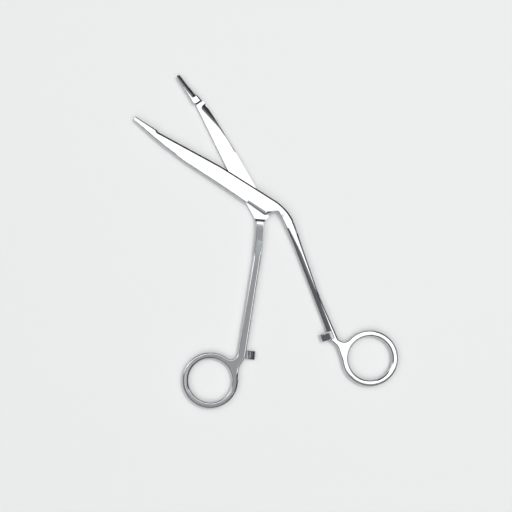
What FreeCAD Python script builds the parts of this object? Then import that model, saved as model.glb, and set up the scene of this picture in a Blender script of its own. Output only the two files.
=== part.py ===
import FreeCAD, Part
import math
import os

# Angled ring-handled forceps with a screw lap joint, lying flat and open.
# Two steel forgings cross at a half-thickness lap and turn on one screw.
# Each has a jaw with a serrated grip, a shank, a ratchet lug and a finger ring.
# Millimetres. The origin is on the pivot axis, at the underside of the joint.
# +Z is up, out of the joint. Each half is drawn with the jaws closed, where +Y
# runs from the rings to the joint, and is then turned to its place at rest.

os.makedirs("parts", exist_ok=True)
Vector = FreeCAD.Vector

# Angles of the whole tool
rest_opening = 24.6
jaw_direction = 128.5

# Thickness of the forgings along Z, equal about the lap plane
joint_thickness = 5.0
handle_thickness = 4.0
grip_thickness = 3.3
tip_thickness = 2.1
lap_clearance = 0.06

# Jaws, along the jaw from the pivot
jaw_length = 67.9
grip_length = 13.4
grip_plane = 1.88
lap_to_grip = 3.3
lap_end_cove = 1.2
grip_step_length = 0.5
upper_step_height = 0.6
lower_step_height = 0.5
taper_start = 8.0
taper_blend = 150.0
tip_corner = 0.7

# Serrations of the grips
serration_pitch = 0.85
serration_depth = 0.3
serration_land = 0.15
grip_clearance = 0.14

# Neck of the joint, where each half comes back to its full thickness
neck_edge_y = -13.95
neck_rounding = 1.6
stem_width = 4.85
shoulder_clearance = 0.3
flare_clearance = 0.4

# Fade from the joint's full thickness into the shank
fade_start_y = -17.0
fade_end_y = -41.0
fade_end_thickness = 1.4
fade_blend = 40.0

# Finger rings
ring_bore = 21.8
ring_band = 3.2
upper_ring_x = 30.56
upper_ring_y = -98.71
lower_ring_x = -9.66
lower_ring_y = -95.56
upper_web_inset = 0.4
lower_web_inset = 0.3
crotch_below_lug = 6.4
web_cove = 10.0
crotch_cove = 3.5

# Edge roundings
handle_rounding = 1.25
shank_grind_slope = 32.0
shank_grind_reach = 3.0
joint_rounding = 0.4
jaw_rounding = 0.8
jaw_rounding_start = 32.5
tip_rounding = 0.45
tip_rounding_length = 1.5

# Pivot screw
screw_bearing_radius = 1.9
screw_thread_radius = 1.6
screw_head_radius = 2.9
screw_head_rim = 0.35
screw_running_clearance = 0.05
screw_recess = 0.06
slot_width = 0.7
slot_depth = 0.55

# Ratchet lugs
lug_width = 4.2
lug_centre_y = -81.2
lug_corner = 0.5
lug_edge_rounding = 0.25
upper_lug_root_x = 16.8
lower_lug_root_x = 5.2
tooth_pitch = 1.1
tooth_count = 3
tooth_height = 0.6
tooth_lead = 0.35
tooth_back = 0.12
tooth_clearance = 0.1
lug_tip_thickness = 0.7
lug_root_thickness = 1.1
upper_lug_tip_x = 10.7
lower_lug_tip_x = 11.7

# Worked-out values
lap_plane = joint_thickness / 2
ring_radius = ring_bore / 2 + ring_band
jaw_axis = Vector(math.cos(math.radians(jaw_direction)), math.sin(math.radians(jaw_direction)), 0)
jaw_normal = Vector(jaw_axis.y, -jaw_axis.x, 0)
grip_start = jaw_length - grip_length
lap_end = grip_start - lap_to_grip
crest_overlap = (serration_depth - grip_clearance) / 2
upper_crest = grip_plane + crest_overlap
lower_crest = grip_plane - crest_overlap
upper_step = grip_start - grip_step_length
lower_step = lap_end + 0.2
upper_ring = Vector(upper_ring_x, upper_ring_y, 0)
lower_ring = Vector(lower_ring_x, lower_ring_y, 0)
crotch_y = lug_centre_y - crotch_below_lug
far = 150.0
clear = 10.0
touch = 1e-4


# A place in the plan.
def xy(x, y):
    return Vector(x, y, 0)


# A place on the jaws, by its distance along them and across them from the pivot.
def on_jaw(along, across):
    return jaw_axis * along + jaw_normal * across


# The corners of the lower half's stem at the neck, which the upper half clears.
lower_stem_shoulder = on_jaw(1.5, stem_width)
lower_flare = xy(11.9, -11.3)
lower_neck = xy(9.75, -13.8)


# The direction from one point to another.
def direction(start, end):
    return (end - start).normalize()


# An open run of lines, its inner corners rounded by tangent arcs or left sharp.
def rounded_run(corners):
    edges = []
    start = corners[0][0]
    for index in range(1, len(corners) - 1):
        corner, radius = corners[index]
        if radius == 0:
            edges.append(Part.LineSegment(start, corner).toShape())
            start = corner
            continue
        back = direction(corner, corners[index - 1][0])
        ahead = direction(corner, corners[index + 1][0])
        half_angle = back.getAngle(ahead) / 2
        middle = (back + ahead).normalize()
        arc_start = corner + back * (radius / math.tan(half_angle))
        arc_end = corner + ahead * (radius / math.tan(half_angle))
        arc_middle = corner + middle * (radius / math.sin(half_angle) - radius)
        edges.append(Part.LineSegment(start, arc_start).toShape())
        edges.append(Part.Arc(arc_start, arc_middle, arc_end).toShape())
        start = arc_end
    edges.append(Part.LineSegment(start, corners[-1][0]).toShape())
    return edges


# The hollow arc that leads a straight edge into the outside of a ring.
# Gives the arc's centre, its end on the straight edge and its end on the ring.
def cove(start, ahead, outward, ring_centre, radius):
    reach = start + outward * radius - ring_centre
    along = reach.dot(ahead)
    travel = -along - math.sqrt(along ** 2 - reach.dot(reach) + (ring_radius + radius) ** 2)
    centre = start + outward * radius + ahead * travel
    on_line = start + ahead * travel
    on_ring = ring_centre + direction(ring_centre, centre) * ring_radius
    return centre, on_line, on_ring


def arc_about(centre, start, end, radius):
    middle = centre + (direction(centre, start) + direction(centre, end)).normalize() * radius
    return Part.Arc(start, middle, end).toShape()


# One half seen from above, as a closed outline run clockwise from the ring. Its
# first and last corners only give the directions in which it meets the ring.
def half_outline(corners, ring_centre, first_cove, last_cove):
    first, second = corners[0][0], corners[1][0]
    before_last, last = corners[-2][0], corners[-1][0]
    down = direction(second, first)
    left = Vector(down.y, -down.x, 0)
    centre, line_start, ring_end = cove(second, down, left, ring_centre, first_cove)
    edges = [arc_about(centre, ring_end, line_start, first_cove)]
    down = direction(before_last, last)
    right = Vector(-down.y, down.x, 0)
    last_centre, line_end, ring_start = cove(before_last, down, right, ring_centre, last_cove)
    edges += rounded_run([(line_start, 0)] + corners[1:-1] + [(line_end, 0)])
    edges.append(arc_about(last_centre, line_end, ring_start, last_cove))
    to_shank = direction(ring_centre, ring_start) + direction(ring_centre, ring_end)
    far_side = ring_centre - to_shank.normalize() * ring_radius
    edges.append(Part.Arc(ring_start, far_side, ring_end).toShape())
    return Part.Wire(Part.__sortEdges__(edges))


# The upper half: its jaw is the one nearer the ring side, its shank is at +X.
def upper_outline():
    web_x = upper_ring.x - ring_radius + upper_web_inset
    corners = [
        (xy(web_x, crotch_y - 4), 0),
        (xy(web_x, crotch_y), 4),
        (xy(14.7, crotch_y + 3.6), 3),
        (xy(13.25, -33), 60),
        (xy(12.6, -23), 60),
        (xy(11.35, neck_edge_y), 1.3),
        (xy(4.4, neck_edge_y), 1.6),
        (on_jaw(10, -4.3), 150),
        (on_jaw(grip_start - 20.5, -3.95), 90),
        (on_jaw(grip_start - 7.5, -3.1), 60),
        (on_jaw(grip_start + 1.5, -1.9), 50),
        (on_jaw(jaw_length, 0.15), tip_corner),
        (on_jaw(jaw_length, upper_crest), 0),
        (on_jaw(grip_start, upper_crest), 0),
        (on_jaw(upper_step, upper_crest - upper_step_height), 0),
        (on_jaw(18, 3.68), 120),
        (on_jaw(-22.7, 3.68), 25),
        (xy(17.1, -61), 80),
        (xy(18.55, lug_centre_y), 0),
    ]
    return half_outline(corners, upper_ring, web_cove, crotch_cove)


# The lower half: its shank is at -X, and its stem flares to a corner at the neck.
def lower_outline():
    web_x = lower_ring.x + ring_radius - lower_web_inset
    corners = [
        (xy(2.85, lug_centre_y + 1.2), 0),
        (xy(5.95, -34), 80),
        (xy(6.15, -20), 60),
        (xy(5.85, neck_edge_y - 0.65), 4),
        (on_jaw(-10, -3.94), 30),
        (on_jaw(10, -2.75), 80),
        (on_jaw(lap_end - 4.7, 1.75), 30),
        (on_jaw(lower_step, lower_crest + lower_step_height), 0),
        (on_jaw(lower_step + grip_step_length, lower_crest), 0),
        (on_jaw(jaw_length, lower_crest), 0),
        (on_jaw(jaw_length, 3.6), tip_corner),
        (on_jaw(lap_end + 7.8, 4.55), 60),
        (on_jaw(lap_end - 0.5, 5.85), 0.8),
        (on_jaw(lap_end - 1.2, 6.35), 1),
        (on_jaw(lap_end - 13.2, 6.4), 80),
        (on_jaw(21, 5.9), 100),
        (lower_stem_shoulder, 5),
        (lower_flare, 0.9),
        (lower_neck, 1.5),
        (xy(10.25, -21), 60),
        (xy(9.9, -33), 80),
        (xy(6.9, crotch_y + 5.1), 3),
        (xy(web_x, crotch_y), 4),
        (xy(web_x, crotch_y - 4), 0),
    ]
    return half_outline(corners, lower_ring, crotch_cove, web_cove)


# A prism whose thickness follows a run of (distance, thickness, blend radius),
# equal about the lap plane. It runs along one direction and is wide across it.
def thickness_prism(stations, along, across):
    runs = []
    for side in (1, -1):
        corners = []
        for distance, thickness, radius in stations:
            corners.append((along * distance + Vector(0, 0, lap_plane + side * thickness / 2), radius))
        runs.append(corners)
    edges = rounded_run(runs[0]) + rounded_run(runs[1])
    for index in (0, -1):
        edges.append(Part.LineSegment(runs[0][index][0], runs[1][index][0]).toShape())
    face = Part.Face(Part.Wire(Part.__sortEdges__(edges)))
    face.translate(across * -far)
    return face.extrude(across * (2 * far))


# The part of a plan beyond a line across Y, raised about the lap plane.
def raised(plan, low_y, high_y, thickness):
    strip = Part.makePlane(2 * far, high_y - low_y, xy(-far, low_y))
    piece = plan.common(strip).Faces[0]
    piece.translate(Vector(0, 0, lap_plane - thickness / 2))
    return piece.extrude(Vector(0, 0, thickness))


# The shank and ring. Each rim is ground round in two bands, 30 and 60 degrees from
# the side, that touch the rounding: a steep bevel, and then one on its upper edge.
def handle(plan):
    body = raised(plan, -far, fade_start_y, handle_thickness)
    heights = [lap_plane + side * handle_thickness / 2 for side in (1, -1)]
    reach = handle_rounding * (1 - math.tan(math.radians(15)))
    steep_reach = reach * math.tan(math.radians(30))
    body = body.makeChamfer(reach, steep_reach, level_edges(body, heights))
    return body.makeChamfer(reach - steep_reach, level_edges(body, heights))


# The level edges of the handle at some heights, apart from its end at the joint.
def level_edges(body, heights):
    found = []
    for edge in body.Edges:
        box = edge.BoundBox
        level = box.ZLength < touch and min(abs(box.ZMin - height) for height in heights) < touch
        if level and box.YMin < fade_start_y - touch:
            found.append(edge)
    return found


# Is this place on a grip, from the foot of its small step out to the tip?
def on_grip(place, crest, step):
    height = abs(place.dot(jaw_normal) - crest)
    return place.dot(jaw_axis) > step - touch and height < upper_step_height + touch


# How round a rim of the joint or the jaw is at a place on it. The outer side of the
# jaw is rounder than the side that its grip faces.
def edge_rounding(place, crest, facing):
    along = place.dot(jaw_axis)
    depth = facing * (crest - place.dot(jaw_normal))
    if along > jaw_length - tip_rounding_length:
        return tip_rounding
    if along > jaw_rounding_start and depth > 2 * upper_step_height:
        return jaw_rounding
    return joint_rounding


# The joint and jaw. It thins towards the tip, and towards the shank it thins
# until it is lost inside the shank, where the shank's own rounding takes over.
def joint_and_jaw(plan, outline, crest, step, facing):
    body = raised(plan, fade_end_y, far, joint_thickness)
    fade = thickness_prism([
        (-far, joint_thickness, 0),
        (-fade_start_y, joint_thickness, fade_blend),
        (-fade_end_y, fade_end_thickness, 0),
    ], Vector(0, -1, 0), Vector(1, 0, 0))
    taper = thickness_prism([
        (-far, joint_thickness, 0),
        (taper_start, joint_thickness, taper_blend),
        (grip_start, grip_thickness, taper_blend),
        (jaw_length, tip_thickness, 0),
    ], jaw_axis, jaw_normal)
    plain = body.common(fade).common(taper)
    rims = []
    for number, edge in enumerate(plain.Edges, 1):
        first = edge.valueAt(edge.FirstParameter)
        last = edge.valueAt(edge.LastParameter)
        sharp = on_grip(first, crest, step) and on_grip(last, crest, step)
        if on_rim(edge, outline) and not sharp:
            along = edge.CenterOfMass.dot(jaw_axis)
            ends = [edge_rounding(place, crest, facing) for place in (first, last)]
            rims.append((along, number, ends[0], ends[1]))
    base = workshop.addObject("Part::Feature", "plain")
    base.Shape = plain
    fillet = workshop.addObject("Part::Fillet", "rounded")
    fillet.Base = base
    fillet.Edges = [rim[1:] for rim in sorted(rims, reverse=True)]
    workshop.recompute()
    return fillet.Shape


# Is this edge on the rim of the plan, rather than upright or across a face?
def on_rim(edge, rim):
    first = edge.valueAt(edge.FirstParameter)
    last = edge.valueAt(edge.LastParameter)
    middle = edge.valueAt((edge.FirstParameter + edge.LastParameter) / 2)
    if abs(first.z - last.z) > edge.Length / 2:
        return False
    return Part.Vertex(xy(middle.x, middle.y)).distToShape(rim)[0] < touch


# One forging before its lap is milled away.
def forging(outline, ring_centre, crest, step, facing):
    bore = Part.Wire(Part.makeCircle(ring_bore / 2, ring_centre))
    plan = Part.Face([outline, bore])
    joint = joint_and_jaw(plan, outline, crest, step, facing)
    return joint.fuse(handle(plan)).removeSplitter()


# All that lies beyond a floor, from far behind up to a wall with a coved foot.
def milled_space(along, across, wall, foot_radius, floor, side):
    corners = [
        (along * -far + Vector(0, 0, floor), 0),
        (along * wall + Vector(0, 0, floor), foot_radius),
        (along * wall + Vector(0, 0, floor + side * clear), 0),
    ]
    edges = rounded_run(corners)
    back = along * -far + Vector(0, 0, floor + side * clear)
    edges.append(Part.LineSegment(corners[2][0], back).toShape())
    edges.append(Part.LineSegment(back, corners[0][0]).toShape())
    face = Part.Face(Part.Wire(Part.__sortEdges__(edges)))
    face.translate(across * -far)
    return face.extrude(across * (2 * far))


# A corner of a run moved outwards, so that both its sides stand off by a gap.
def stood_off(before, corner, after, gap):
    back = direction(corner, before)
    ahead = direction(corner, after)
    outward = (back + ahead).normalize() * -1
    return corner + outward * (gap / math.sin(back.getAngle(ahead) / 2))


# What the upper half leaves free under its lap: the lower half's flared stem.
def upper_lap_space():
    floor = lap_plane + lap_clearance / 2
    outer = on_jaw(far, stem_width)
    shoulder = stood_off(outer, lower_stem_shoulder, lower_flare, flare_clearance)
    flare = stood_off(lower_stem_shoulder, lower_flare, lower_neck, flare_clearance)
    outline = [
        outer + jaw_normal * flare_clearance,
        shoulder,
        flare,
        flare + direction(lower_flare, lower_neck) * far,
        xy(-far, -far),
        on_jaw(far, -far),
    ]
    plan = Part.Face(Part.makePolygon(outline + outline[:1]))
    plan.translate(Vector(0, 0, -clear))
    plan_space = plan.extrude(Vector(0, 0, 2 * clear))
    under = milled_space(jaw_axis, jaw_normal, lap_end, lap_end_cove, floor, -1)
    rim_y = neck_edge_y + neck_rounding
    rim_z = floor + neck_rounding
    block = Part.makeBox(2 * far, clear, rim_z, Vector(-far, rim_y - clear, 0))
    roll = Part.makeCylinder(neck_rounding, 2 * far, Vector(-far, rim_y, rim_z), Vector(1, 0, 0))
    return under.fuse(block.cut(roll)).common(plan_space)


# What the lower half leaves free over its lap: up to a coved neck shoulder.
def lower_lap_space():
    floor = lap_plane - lap_clearance / 2
    jaws = milled_space(jaw_axis, jaw_normal, lap_end, lap_end_cove, floor, 1)
    foot = neck_rounding + shoulder_clearance
    neck = milled_space(Vector(0, -1, 0), Vector(1, 0, 0), shoulder_clearance - neck_edge_y, foot, floor, 1)
    return jaws.common(neck)


# The V grooves across a grip, as one tool. Those of one half face the ridges of
# the other. They start beside the grip's inner end and run out at the tip.
def serrations(crest, away, shift):
    half_mouth = (serration_pitch - serration_land) / 2
    lift = 0.2
    mouth = half_mouth * (1 + lift / serration_depth)
    grooves = []
    middle = grip_start + shift
    while middle < jaw_length:
        points = [
            on_jaw(middle - mouth, crest - away * lift),
            on_jaw(middle, crest + away * serration_depth),
            on_jaw(middle + mouth, crest - away * lift),
        ]
        plan = Part.Face(Part.makePolygon(points + points[:1]))
        grooves.append(plan.extrude(Vector(0, 0, joint_thickness)))
        middle += serration_pitch
    return Part.makeCompound(grooves)


# A ratchet lug: a tongue from the shank with sawteeth on the face that meets
# the other lug. Its tip points along reach, and its teeth face the side given.
def ratchet_lug(tip_x, reach, root_x, side):
    crest = lap_plane - side * tooth_clearance / 2
    valley = crest - side * tooth_height
    points = [(tip_x, valley)]
    for index in range(tooth_count):
        peak = tip_x - reach * (tooth_lead + index * tooth_pitch)
        points.append((peak, crest))
        points.append((peak - reach * tooth_back, valley))
    points.append((root_x, valley))
    points.append((root_x, valley - side * lug_root_thickness))
    points.append((tip_x, valley - side * lug_tip_thickness))
    profile = [Vector(x, lug_centre_y - lug_width / 2, z) for x, z in points]
    lug = Part.Face(Part.makePolygon(profile + profile[:1])).extrude(Vector(0, lug_width, 0))
    back_z = valley - side * lug_tip_thickness
    corners = [e for e in lug.Edges if all(abs(v.X - tip_x) < touch for v in e.Vertexes)]
    posts = [e for e in corners if abs(e.Vertexes[0].Z - e.Vertexes[1].Z) > lug_tip_thickness / 2]
    lug = lug.makeFillet(lug_corner, posts)
    rim = [e for e in lug.Edges if all(side * v.Z < side * back_z + touch for v in e.Vertexes)]
    rim = [e for e in rim if all(reach * (v.X - root_x) > touch for v in e.Vertexes)]
    rim += [e for e in lug.Edges if is_back_side(e, root_x, valley - side * lug_root_thickness)]
    return lug.makeFillet(lug_edge_rounding, rim)


# Is this one of the two long edges of a lug's back, from its root to its tip?
def is_back_side(edge, root_x, root_z):
    ends = [v for v in edge.Vertexes if abs(v.X - root_x) < touch and abs(v.Z - root_z) < touch]
    lengthwise = abs(edge.Vertexes[0].Y - edge.Vertexes[1].Y) < touch
    return len(ends) == 1 and lengthwise and edge.Length > tooth_count * tooth_pitch / 2


# A turned shape about the pivot axis, from its (radius, height) profile.
def turned(profile):
    points = [Vector(radius, 0, height) for radius, height in profile]
    face = Part.Face(Part.makePolygon(points + points[:1]))
    return face.revolve(Vector(0, 0, 0), Vector(0, 0, 1), 360)


# The screw goes in from below: a countersunk head, a plain bearing that runs in
# the lower half, and a thread fixed in the upper half and ground flush with it.
def pivot_screw():
    cone_top = screw_recess + screw_head_rim + screw_head_radius - screw_bearing_radius
    seat = lap_plane + lap_clearance / 2
    body = turned([
        (0, screw_recess),
        (screw_head_radius, screw_recess),
        (screw_head_radius, screw_recess + screw_head_rim),
        (screw_bearing_radius, cone_top),
        (screw_bearing_radius, seat),
        (screw_thread_radius, seat),
        (screw_thread_radius, joint_thickness),
        (0, joint_thickness),
    ])
    slot = Part.makeBox(
        2 * screw_head_radius + 2, slot_width, slot_depth + 1,
        Vector(-screw_head_radius - 1, -slot_width / 2, screw_recess - 1))
    return body.cut(slot)


# The lower half's bore: the screw's own head and bearing, with running room.
def screw_bore():
    gap = screw_running_clearance
    rim_top = screw_recess + screw_head_rim + gap / 2
    cone_top = rim_top + screw_head_radius - screw_bearing_radius
    return turned([
        (0, -1),
        (screw_head_radius + gap, -1),
        (screw_head_radius + gap, rim_top),
        (screw_bearing_radius + gap, cone_top),
        (screw_bearing_radius + gap, joint_thickness),
        (0, joint_thickness),
    ])


# What a wheel takes off the inner side of the upper half's shank, above and below:
# all that lies beyond a slope that leaves the flat face along a line.
def ground_side(start, end):
    ahead = direction(start, end)
    outward = Vector(ahead.y, -ahead.x, 0)
    fall = Vector(0, 0, math.tan(math.radians(shank_grind_slope)))
    wedges = []
    for side in (1, -1):
        crest = start + Vector(0, 0, lap_plane + side * handle_thickness / 2)
        above = crest - (outward - fall * side)
        foot = crest + (outward - fall * side) * shank_grind_reach
        over = Vector(foot.x, foot.y, above.z)
        wedge = Part.Face(Part.makePolygon([above, foot, over, above]))
        wedges.append(wedge.extrude(end - start))
    return wedges


def upper_half():
    body = forging(upper_outline(), upper_ring, upper_crest, upper_step, 1)
    ground_run = [xy(13.5, -23.7), xy(15.35, -38), xy(17.15, lug_centre_y - lug_width / 2)]
    for start, end in zip(ground_run, ground_run[1:]):
        body = body.cut(ground_side(start, end))
    body = body.cut(upper_lap_space())
    body = body.cut(serrations(upper_crest, -1, 0))
    body = body.cut(Part.makeCylinder(screw_thread_radius, far, Vector(0, 0, -1)))
    return body.fuse(ratchet_lug(upper_lug_tip_x, -1, upper_lug_root_x, -1)).removeSplitter()


def lower_half():
    body = forging(lower_outline(), lower_ring, lower_crest, lower_step, -1)
    body = body.cut(lower_lap_space())
    body = body.cut(serrations(lower_crest, 1, -serration_pitch / 2))
    body = body.cut(screw_bore())
    return body.fuse(ratchet_lug(lower_lug_tip_x, 1, lower_lug_root_x, 1)).removeSplitter()


# Each half turns back by half of the opening, and the screw stays with the upper.
def at_rest(shape, turn):
    placed = shape.copy()
    placed.rotate(Vector(0, 0, 0), Vector(0, 0, 1), turn)
    return placed


workshop = FreeCAD.newDocument("forceps")
sub_parts = {
    "upper_half": at_rest(upper_half(), rest_opening / 2),
    "lower_half": at_rest(lower_half(), -rest_opening / 2),
    "pivot_screw": at_rest(pivot_screw(), rest_opening / 2),
}
for node, shape in sub_parts.items():
    shape.exportStep("parts/" + node + ".step")
    print(node, shape.isValid(), len(shape.Solids), round(shape.Volume, 1))
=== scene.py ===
import math

import bmesh
import bpy
from mathutils import Matrix, Vector


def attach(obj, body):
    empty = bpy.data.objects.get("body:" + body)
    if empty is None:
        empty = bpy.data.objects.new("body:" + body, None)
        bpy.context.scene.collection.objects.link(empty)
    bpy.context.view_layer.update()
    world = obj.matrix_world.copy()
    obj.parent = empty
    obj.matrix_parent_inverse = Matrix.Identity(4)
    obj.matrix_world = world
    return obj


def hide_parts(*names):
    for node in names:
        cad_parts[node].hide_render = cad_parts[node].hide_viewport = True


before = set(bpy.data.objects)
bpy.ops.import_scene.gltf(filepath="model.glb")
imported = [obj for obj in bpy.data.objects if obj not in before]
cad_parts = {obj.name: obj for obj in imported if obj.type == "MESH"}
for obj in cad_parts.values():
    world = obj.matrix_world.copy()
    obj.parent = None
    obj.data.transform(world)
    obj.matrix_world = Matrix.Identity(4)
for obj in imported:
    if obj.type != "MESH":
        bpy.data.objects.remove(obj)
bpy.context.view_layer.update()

mm = 0.001

photo = {
    "side": 512,                 # pixels
    "mmPerPixel": 0.5,
    "pivot": (247.5, 191.9),     # pixels, where the joint's axis stands
    "turn": 6.9,                 # degrees between the picture's up and the tool's +Y
}
photoUp = Vector((math.sin(math.radians(photo["turn"])), math.cos(math.radians(photo["turn"])), 0))
photoRight = Vector((photoUp.y, -photoUp.x, 0))
photoCorner = (photoRight + photoUp).normalized()     # the picture's upper right
pictureWidth = photo["side"] * photo["mmPerPixel"] * mm
centre = (photoRight * (photo["side"] / 2 - photo["pivot"][0])
          + photoUp * (photo["pivot"][1] - photo["side"] / 2)) * photo["mmPerPixel"] * mm


def clamped(value):
    return min(max(value, 0), 1)


def linear(hexColour):
    # sRGB hex to the linear colour that Blender's sockets take
    parts = [int(hexColour[i:i + 2], 16) / 255 for i in (1, 3, 5)]
    return tuple(c / 12.92 if c <= 0.04045 else ((c + 0.055) / 1.055) ** 2.4 for c in parts) + (1.0,)


def addNode(tree, kind, settings=None, inputs=None, links=None):
    # settings: the node's properties, inputs: its sockets' values, links: {its input: another's output}
    node = tree.nodes.new(kind)
    for name, value in (settings or {}).items():
        setattr(node, name, value)
    for name, value in (inputs or {}).items():
        node.inputs[name].default_value = value
    for name, output in (links or {}).items():
        tree.links.new(output, node.inputs[name])
    return node


def newMaterial(name):
    made = bpy.data.materials.new(name)
    made.use_nodes = True
    made.node_tree.nodes.clear()
    return made


print("materials")

# stainless steel, ground and buffed: bright, with a fine satin from the buffing wheel
buffed = {
    "colour": "#d9dadb",
    "darkColour": "#c9cbcd",
    "roughness": (0.08, 0.14),
    "cloudSize": 9.0,            # mm, patches that the wheel passed more often
    "cloudRange": (0.3, 0.7),    # the part of the noise that the roughness follows
    "grainWidth": 0.12,          # mm, the buffing marks drawn coarser than real to show at all
    "grainDepth": 0.004,         # mm
    "grainStrength": 0.25,
}

# where the wheel rolled over an edge: from, to (mm, left of this line the steel falls away), how steep,
# mm over which it gets so steep, mm to where it is level again, mm that its two ends run out over
rolledEdges = {
    "upper": [
        ((9.0, -11.6), (0.8, -4.7), 0.48, 1.3, 4, (0.5, 1.5)),           # joint, lower left
        ((13.5, -10.9), (8.6, -10.6), 0.5, 0.9, 4, (1.0, 0.8)),          # joint, its foot
        ((20.1, -18.2), (21.4, -23.3), 0.6, 0.8, 4, (1.0, 1.0)),         # bend
        ((-51.4, 43.5), (-41.3, 35.0), 0.5, 0.7, 4, (0.3, 0.8)),         # grip
        ((33.4, -79.5), (32.4, -75.0), 0.6, 0.8, 5, (0.4, 0.3)),         # lug
    ],
    "lower": [
        ((-29.0, 61.1), (-22.6, 50.3), 0.42, 1.8, 4, (0.4, 1.2)),        # grip
        ((-19.0, 43.4), (-10.3, 31.1), 0.42, 2.7, 4, (0.9, 5.0)),        # jaw, below its step
        ((-9.9, 33.0), (-4.9, 21.4), 0.5, 0.9, 4, (1.5, 3.0)),           # jaw, towards the joint
        ((-9.4, -77.7), (-10.0, -82.8), 0.62, 0.15, 1.8, (0.3, 0.3)),    # lug
    ],
}


def rolledEdge(tree, place, start, end, steepness, width, reach, runOuts):
    # a height, in metres, that is 0 on one side of a line and falls away on the other
    start, end = Vector(start + (0,)) * mm, Vector(end + (0,)) * mm
    length = (end - start).length
    along = (end - start).normalized()
    fromStart = addNode(tree, "ShaderNodeVectorMath", settings={"operation": "SUBTRACT"},
                        inputs={1: start}, links={0: place.outputs["Object"]})
    beyond = addNode(tree, "ShaderNodeVectorMath", settings={"operation": "DOT_PRODUCT"},
                     inputs={1: Vector((-along.y, along.x, 0))}, links={0: fromStart.outputs["Vector"]})
    passed = addNode(tree, "ShaderNodeVectorMath", settings={"operation": "DOT_PRODUCT"},
                     inputs={1: along}, links={0: fromStart.outputs["Vector"]})
    bend = addNode(tree, "ShaderNodeMapRange", inputs={"From Min": 0.0, "From Max": width * mm},
                   links={"Value": beyond.outputs["Value"]})
    bent = addNode(tree, "ShaderNodeMath", settings={"operation": "POWER"}, inputs={1: 2.0},
                   links={0: bend.outputs["Result"]})
    bentDrop = addNode(tree, "ShaderNodeMapRange",
                       inputs={"To Min": 0.0, "To Max": -steepness * width * mm / 2},
                       links={"Value": bent.outputs["Value"]})
    slopeDrop = addNode(tree, "ShaderNodeMapRange",
                        inputs={"From Min": width * mm, "From Max": reach * mm,
                                "To Min": 0.0, "To Max": -steepness * (reach - width) * mm},
                        links={"Value": beyond.outputs["Value"]})
    drop = addNode(tree, "ShaderNodeMath", settings={"operation": "ADD"},
                   links={0: bentDrop.outputs["Result"], 1: slopeDrop.outputs["Result"]})
    begins = addNode(tree, "ShaderNodeMapRange", settings={"interpolation_type": "SMOOTHSTEP"},
                     inputs={"From Min": -runOuts[0] * mm, "From Max": 0.0},
                     links={"Value": passed.outputs["Value"]})
    ends = addNode(tree, "ShaderNodeMapRange", settings={"interpolation_type": "SMOOTHSTEP"},
                   inputs={"From Min": length, "From Max": length + runOuts[1] * mm,
                           "To Min": 1.0, "To Max": 0.0},
                   links={"Value": passed.outputs["Value"]})
    within = addNode(tree, "ShaderNodeMath", settings={"operation": "MULTIPLY"},
                     links={0: begins.outputs["Result"], 1: ends.outputs["Result"]})
    return addNode(tree, "ShaderNodeMath", settings={"operation": "MULTIPLY"},
                   links={0: drop.outputs["Value"], 1: within.outputs["Value"]})


def buffedSteel(name, look, edges):
    made = newMaterial(name)
    tree = made.node_tree
    place = addNode(tree, "ShaderNodeTexCoord")
    cloud = addNode(tree, "ShaderNodeTexNoise",
                    inputs={"Scale": 1 / (look["cloudSize"] * mm), "Detail": 3.0, "Roughness": 0.55},
                    links={"Vector": place.outputs["Object"]})
    grain = addNode(tree, "ShaderNodeTexNoise",
                    inputs={"Scale": 1 / (look["grainWidth"] * mm), "Detail": 2.0, "Roughness": 0.6},
                    links={"Vector": place.outputs["Object"]})
    rough = addNode(tree, "ShaderNodeMapRange",
                    inputs={"From Min": look["cloudRange"][0], "From Max": look["cloudRange"][1],
                            "To Min": look["roughness"][0], "To Max": look["roughness"][1]},
                    links={"Value": cloud.outputs["Fac"]})
    colour = addNode(tree, "ShaderNodeValToRGB", links={"Fac": cloud.outputs["Fac"]})
    colour.color_ramp.elements[0].color = linear(look["colour"])
    colour.color_ramp.elements[1].color = linear(look["darkColour"])
    bump = addNode(tree, "ShaderNodeBump",
                   inputs={"Strength": look["grainStrength"], "Distance": look["grainDepth"] * mm},
                   links={"Height": grain.outputs["Fac"]})
    for edge in edges:
        bump = addNode(tree, "ShaderNodeBump", inputs={"Strength": 1.0, "Distance": 1.0},
                       links={"Height": rolledEdge(tree, place, *edge).outputs["Value"],
                              "Normal": bump.outputs["Normal"]})
    steel = addNode(tree, "ShaderNodeBsdfPrincipled", inputs={"Metallic": 1.0},
                    links={"Base Color": colour.outputs["Color"], "Roughness": rough.outputs["Result"],
                           "Normal": bump.outputs["Normal"]})
    addNode(tree, "ShaderNodeOutputMaterial", links={"Surface": steel.outputs["BSDF"]})
    return made


upperFinish = buffedSteel("satin_buffed_stainless_steel_upper", buffed, rolledEdges["upper"])
lowerFinish = buffedSteel("satin_buffed_stainless_steel_lower", buffed, rolledEdges["lower"])

# the screw is turned, so its head and thread end carry fine rings round the pivot
turned = {
    "colour": "#cfd1d3",
    "roughness": 0.2,
    "ringWidth": 1.57,           # mm, drawn coarser than the marks of the turning tool to show at all
    "ringDepth": 0.006,          # mm
    "ringStrength": 0.5,
    "wobble": 0.4,
}


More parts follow.
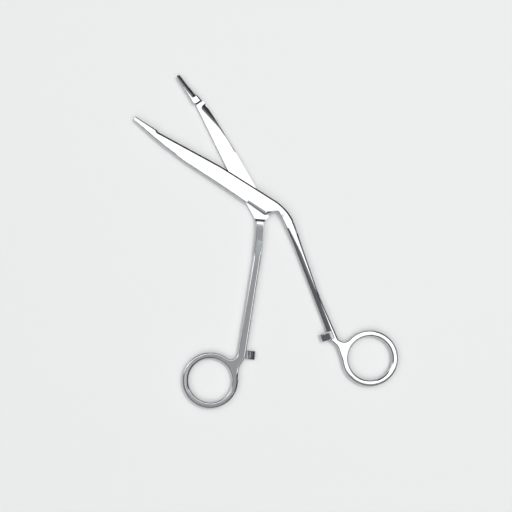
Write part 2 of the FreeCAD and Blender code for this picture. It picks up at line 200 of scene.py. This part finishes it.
def turnedSteel(name, look):
    made = newMaterial(name)
    tree = made.node_tree
    place = addNode(tree, "ShaderNodeTexCoord")
    marks = addNode(tree, "ShaderNodeTexWave",
                    settings={"wave_type": "RINGS", "rings_direction": "Z", "wave_profile": "SIN"},
                    inputs={"Scale": math.pi / 10 / (look["ringWidth"] * mm),     # a ring is pi / 10 wide
                            "Distortion": look["wobble"], "Detail": 1.0},
                    links={"Vector": place.outputs["Object"]})
    bump = addNode(tree, "ShaderNodeBump",
                   inputs={"Strength": look["ringStrength"], "Distance": look["ringDepth"] * mm},
                   links={"Height": marks.outputs["Fac"]})
    steel = addNode(tree, "ShaderNodeBsdfPrincipled",
                    inputs={"Metallic": 1.0, "Base Color": linear(look["colour"]),
                            "Roughness": look["roughness"]},
                    links={"Normal": bump.outputs["Normal"]})
    addNode(tree, "ShaderNodeOutputMaterial", links={"Surface": steel.outputs["BSDF"]})
    return made


screwFinish = turnedSteel("turned_stainless_steel", turned)

print("forgings")

forging = {
    "weldDistance": 0.002,       # mm, joins the CAD mesh's loose triangles
    "sharpAngle": 42,            # degrees, edges left crisp: the neck, the step, the teeth
    "flatTilt": 13,              # degrees, a face within this of level is a ground flat
    "sideTilt": 0.05,            # a face's normal less upright than this is a side, not a rim
    "ringReach": 14.6,           # mm from a ring's centre
    "webLength": 4.0,            # mm from there to where the shank's own rim begins
    "webShare": (0.35, 0.8),     # a ring is round below the first, flat above the second, 1 is its web
    "rimTilt": (32, 42),         # degrees, how steep the wheel left the jaws' rims, from top to side
    "rimShadeSlope": 0.7,        # how fast that fades from the dark side of the jaws to the lit one
    "turningHalf": "upper_half",
    "turningWidth": 0.9,         # mm, how far in from its rim this half's top starts to turn
    "turningSide": 0.6,          # how much a rim has to face the picture's upper right for it
    "turningEnd": -17.5,         # mm, where the shank's own rim takes over
    "turningChord": 3.0,         # mm, the least length of a straight cut beside the rim
    "crispHandle": 0.6,          # how far the upper shank's rims stay bevels instead of one rounding
    "crispRing": 0.85,           # and the rings' dark sides
}
halfOpening = 12.3               # degrees, each half is turned by this from where the jaws close
closedRings = {"upper_half": (30.56, -98.71), "lower_half": (-9.66, -95.56)}     # mm, their centres
turns = {"upper_half": halfOpening, "lower_half": -halfOpening}
rings = {name: Matrix.Rotation(math.radians(turns[name]), 3, "Z") @ Vector(place + (0,))
         for name, place in closedRings.items()}
websLie = {"upper_half": Vector((-0.84, 0.54, 0)), "lower_half": Vector((0.92, 0.38, 0))}
jawsStart = {"upper_half": -24.0, "lower_half": -9.5}     # mm, where the handles take over
darkSides = {     # of each ring: on its inside or not, towards where, and how much it has to face there
    "upper_half": [(True, photoRight, 0.3)],
    "lower_half": [(True, photoUp - photoRight, 0.6), (False, photoRight - photoUp * 0.6, 0.75)],
}


def fromRing(place, cadName):
    away = place / mm - rings[cadName]
    away.z = 0
    return away


def isJaw(place, cadName):
    return place.y > jawsStart[cadName] * mm


def flatShare(place, cadName):
    # 1 where a level face stays flat to its edge, 0 on the ring, which is ground round
    away = fromRing(place, cadName)
    if away.length > forging["ringReach"]:
        return 1.0
    low, high = forging["webShare"]
    share = clamped((away.normalized().dot(websLie[cadName]) - low) / (high - low))
    return share * share * (3 - 2 * share)


def crispness(place, normal, cadName):
    # where a rim is a bevel with its own edge: the jaws, the upper shank, and the rings' dark sides
    if isJaw(place, cadName):
        return 1.0
    away = fromRing(place, cadName)
    if away.length > forging["ringReach"] + forging["webLength"]:
        return forging["crispHandle"] if cadName == "upper_half" else 0.0
    away.normalize()
    inside = normal.dot(away) < 0
    dark = any(inside == onInside and away.dot(towards) > least
               for onInside, towards, least in darkSides[cadName])
    return forging["crispRing"] if dark else 0.0


def jawRim(normal, up):
    # a jaw's rim is steeper than a true rounding, most on the side away from the light
    tilt = normal.angle(Vector((0, 0, normal.z)))
    outwards = Vector((normal.x, normal.y, 0)).normalized()
    top, side = (math.radians(a) for a in forging["rimTilt"])
    buffedTilt = top + (side - top) * tilt / (math.pi / 2)
    tilt += (buffedTilt - tilt) * clamped(0.5 + forging["rimShadeSlope"] * outwards.dot(photoCorner))
    return outwards * math.sin(tilt) + Vector((0, 0, up * math.cos(tilt)))


def facesAverage(faces):
    return sum((f.normal * f.calc_area() for f in faces), Vector()).normalized()


def isTop(face, cadName):
    level = math.cos(math.radians(forging["flatTilt"]))
    return face.normal.z > level and isJaw(face.calc_center_median(), cadName)


def rimLines(shape, cadName):
    # the outer rim of a jaw's top, on the side away from the light: start, run and the way it faces
    lines = []
    for edge in shape.edges:
        inner = [f for f in edge.link_faces if isTop(f, cadName)]
        outer = [f for f in edge.link_faces if not isTop(f, cadName) and f.normal.z > forging["sideTilt"]]
        if len(inner) == len(outer) == 1 and edge.verts[0].co.y > forging["turningEnd"] * mm:
            facing = Vector((outer[0].normal.x, outer[0].normal.y, 0)).normalized()
            if facing.dot(photoCorner) > forging["turningSide"]:
                start, end = (Vector((v.co.x, v.co.y, 0)) for v in edge.verts)
                lines.append((start, end - start, facing))
    return lines


def cutBesideRim(shape, cadName, lines):
    # cuts the top along its outer rim, so that its shading can turn from level to the rim's
    points = sorted((p for start, run, facing in lines for p in (start, start + run)), key=lambda p: -p.y)
    chordStart = points[0]
    for point in points:
        chord = point - chordStart
        if chord.length < forging["turningChord"] * mm:
            continue
        outwards = Vector((-chord.y, chord.x, 0)).normalized()
        tops = [f for f in shape.faces if isTop(f, cadName)]
        edges = dict.fromkeys(e for f in tops for e in f.edges)
        corners = dict.fromkeys(v for f in tops for v in f.verts)
        bmesh.ops.bisect_plane(shape, geom=[*tops, *edges, *corners], dist=1e-7, plane_no=outwards,
                               plane_co=chordStart - outwards * forging["turningWidth"] * mm)
        chordStart = point


def turnedNormal(place, lines):
    # the top's normal near its outer rim, None further in
    flat = Vector((place.x, place.y, 0))
    nearest, facing = forging["turningWidth"] * mm, None
    for start, run, outwards in lines:
        share = clamped((flat - start).dot(run) / run.length_squared)
        distance = (start + run * share - flat).length
        if distance < nearest:
            nearest, facing = distance, outwards
    if facing is None:
        return None
    tilt = math.radians(forging["rimTilt"][0]) * (1 - nearest / (forging["turningWidth"] * mm))
    return facing * math.sin(tilt) + Vector((0, 0, math.cos(tilt)))


def cornerNormals(shape, cadName, lines):
    # smooth within the sharp angle; where a ground flat meets its rim the flat stays flat
    limit = math.cos(math.radians(forging["sharpAngle"]))
    level = math.cos(math.radians(forging["flatTilt"]))
    normals = []
    for face in shape.faces:
        isRim = forging["sideTilt"] < abs(face.normal.z) < level
        isJawRim = isRim and isJaw(face.calc_center_median(), cadName)
        isTurning = lines and isTop(face, cadName)
        for loop in face.loops:
            place = loop.vert.co
            near = [f for f in loop.vert.link_faces if f.normal.dot(face.normal) > limit]
            flats = [f for f in near if abs(f.normal.z) > level]
            bands = [f for f in near if abs(f.normal.z) <= level]
            normal = facesAverage(near)
            if flats:
                normal = normal.lerp(facesAverage(flats), flatShare(place, cadName)).normalized()
            if isRim and flats and bands:
                share = crispness(place, face.normal, cadName)
                normal = normal.lerp(facesAverage(bands), share).normalized()
            if isJawRim and (normal.x or normal.y):
                normal = jawRim(normal, math.copysign(1, face.normal.z))
            normals.append((isTurning and turnedNormal(place, lines)) or normal)
    return normals


def forgedPiece(name, cadName, body, finish):
    # the CAD node's own shape, with its ground bands shaded as the roundings that a wheel leaves
    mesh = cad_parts[cadName].data.copy()
    shape = bmesh.new()
    shape.from_mesh(mesh)
    bmesh.ops.remove_doubles(shape, verts=shape.verts, dist=forging["weldDistance"] * mm)
    lines = []
    if cadName == forging["turningHalf"]:
        lines = rimLines(shape, cadName)
        cutBesideRim(shape, cadName, lines)
    for face in shape.faces:
        face.smooth = True
    normals = cornerNormals(shape, cadName, lines)
    shape.to_mesh(mesh)
    shape.free()
    mesh.normals_split_custom_set(normals)
    mesh.materials.clear()
    mesh.materials.append(finish)
    piece = bpy.data.objects.new(name, mesh)
    bpy.context.scene.collection.objects.link(piece)
    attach(piece, body)
    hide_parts(cadName)


forgedPiece("upper_forging", "upper_half", "upper", upperFinish)
forgedPiece("lower_forging", "lower_half", "lower", lowerFinish)

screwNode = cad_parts["pivot_screw"]
screwNode.data.materials.clear()
screwNode.data.materials.append(screwFinish)

print("floor")

table = {
    "colour": "#e9e9e9",         # matt white card: no gloss, so it shows only soft shadows
    "side": 3000,                # mm
    "gap": 0.05,                 # mm under the joint
}


def mattCard(name, look):
    made = newMaterial(name)
    tree = made.node_tree
    card = addNode(tree, "ShaderNodeBsdfPrincipled",
                   inputs={"Base Color": linear(look["colour"]), "Roughness": 0.9,
                           "Specular IOR Level": 0.1})
    addNode(tree, "ShaderNodeOutputMaterial", links={"Surface": card.outputs["BSDF"]})
    return made


bpy.ops.mesh.primitive_plane_add(size=table["side"] * mm,
                                 location=(centre.x, centre.y, -table["gap"] * mm))
floor = bpy.context.object
floor.name = "floor"
floor.data.materials.append(mattCard("matt_white_card", table))

print("light")

studio = {
    "wallNear": "#6e7072",       # what steep faces mirror: a dark room, lighter at the lower left
    "wallFar": "#2a2b2c",
    "wallsMeet": (-0.5, 0.3),    # from the lower left, -1, to the upper right, 1
    "ceiling": "#b0b2b3",        # what level faces mirror beside the softboxes
    "wallTop": 36,               # degrees above the floor
    "ceilingStart": 80,
    "keyPower": 30.0,
    "keyPlace": (850, 620, 3000),            # mm right, up the picture and above the table
    "keySide": 700,
    "panelPower": 22.0,
    "panelPlace": (0, 0, 1400),
    "panelSide": 2600,
    "boxHeight": 250,
    "boxes": {                   # mm: left, bottom, right and top over the picture; how bright
        "upperBox": ((-420, 16, 120, 175), 1.5),
        "rightBox": ((24, -125, 240, 16), 1.5),
        "ringBox": ((-85, -114, -43, -64), 0.6),
    },
    "fillRadiance": 0.85,
    "fillPlace": (-900, 300, 350),
    "fillSize": (500, 900),
}


def inPicture(right, up, height):
    # a place by mm to the right of the picture's middle, up the picture and above the table
    return centre + (photoRight * right + photoUp * up + Vector((0, 0, height))) * mm


def areaLamp(name, power, size, place, target):
    data = bpy.data.lights.new(name, "AREA")
    data.shape = "RECTANGLE"
    data.size, data.size_y = size[0] * mm, size[1] * mm
    data.energy = power
    lamp = bpy.data.objects.new(name, data)
    bpy.context.scene.collection.objects.link(lamp)
    back = (place - target).normalized()
    isOverhead = abs(back.z) > 0.99
    across = (photoUp if isOverhead else Vector((0, 0, 1))).cross(back).normalized()
    turn = Matrix((across, back.cross(across), back)).transposed()
    lamp.matrix_world = Matrix.Translation(place) @ turn.to_4x4()
    lamp.visible_camera = False
    return lamp


def tableLamp(name, power, side, place):
    # lights the table and isn't mirrored in the steel
    lamp = areaLamp(name, power, (side, side), inPicture(*place), inPicture(0, 0, 0))
    lamp.visible_glossy = False


def mirroredBox(name, radiance, size, place, target):
    # a light that only the steel's reflections see, so it doesn't change how the table is lit
    area = size[0] * size[1] * mm ** 2
    lamp = areaLamp(name, radiance * math.pi * area, size, place, target)
    lamp.visible_diffuse = False


tableLamp("key_light", studio["keyPower"], studio["keySide"], studio["keyPlace"])
tableLamp("ceiling_panel", studio["panelPower"], studio["panelSide"], studio["panelPlace"])
for name, ((left, bottom, right, top), radiance) in studio["boxes"].items():
    middle = ((left + right) / 2, (bottom + top) / 2)
    mirroredBox(name, radiance, (right - left, top - bottom),
                inPicture(*middle, studio["boxHeight"]), inPicture(*middle, 0))
mirroredBox("fillCard", studio["fillRadiance"], studio["fillSize"],
            inPicture(*studio["fillPlace"]), inPicture(0, 0, 0))


def studioWorld():
    world = bpy.data.worlds.new("studio")
    world.use_nodes = True
    tree = world.node_tree
    tree.nodes.clear()
    place = addNode(tree, "ShaderNodeTexCoord")
    parts = addNode(tree, "ShaderNodeSeparateXYZ", links={"Vector": place.outputs["Generated"]})
    climb = addNode(tree, "ShaderNodeMapRange", settings={"interpolation_type": "SMOOTHSTEP"},
                    inputs={"From Min": math.sin(math.radians(studio["wallTop"])),
                            "From Max": math.sin(math.radians(studio["ceilingStart"]))},
                    links={"Value": parts.outputs["Z"]})
    side = addNode(tree, "ShaderNodeVectorMath", settings={"operation": "DOT_PRODUCT"},
                   inputs={1: photoCorner}, links={0: place.outputs["Generated"]})
    across = addNode(tree, "ShaderNodeMapRange", settings={"interpolation_type": "SMOOTHSTEP"},
                     inputs={"From Min": studio["wallsMeet"][0], "From Max": studio["wallsMeet"][1]},
                     links={"Value": side.outputs["Value"]})
    walls = addNode(tree, "ShaderNodeMix", settings={"data_type": "RGBA"},     # 6 and 7 are its colours
                    inputs={6: linear(studio["wallNear"]), 7: linear(studio["wallFar"])},
                    links={0: across.outputs["Result"]})
    room = addNode(tree, "ShaderNodeMix", settings={"data_type": "RGBA"},
                   inputs={7: linear(studio["ceiling"])},
                   links={0: climb.outputs["Result"], 6: walls.outputs[2]})
    around = addNode(tree, "ShaderNodeBackground", inputs={"Strength": 1.0}, links={"Color": room.outputs[2]})
    addNode(tree, "ShaderNodeOutputWorld", links={"Surface": around.outputs["Background"]})
    return world


bpy.context.scene.world = studioWorld()

print("camera")

view = {
    "height": 600,               # mm above the table
    "focus": 3.5,                # mm above the table, where the picture is as wide as the photograph
    "sensor": 36,                # mm
}
data = bpy.data.cameras.new("camera")
data.sensor_width = view["sensor"]
data.lens = view["sensor"] * (view["height"] - view["focus"]) * mm / pictureWidth
data.clip_start = 0.05
data.clip_end = 10
camera = bpy.data.objects.new("camera", data)
bpy.context.scene.collection.objects.link(camera)
camera.matrix_world = Matrix.Translation(inPicture(0, 0, view["height"])) @ Matrix(
    (photoRight, photoUp, Vector((0, 0, 1)))).transposed().to_4x4()
bpy.context.scene.camera = camera
bpy.context.scene.view_settings.view_transform = "Standard"
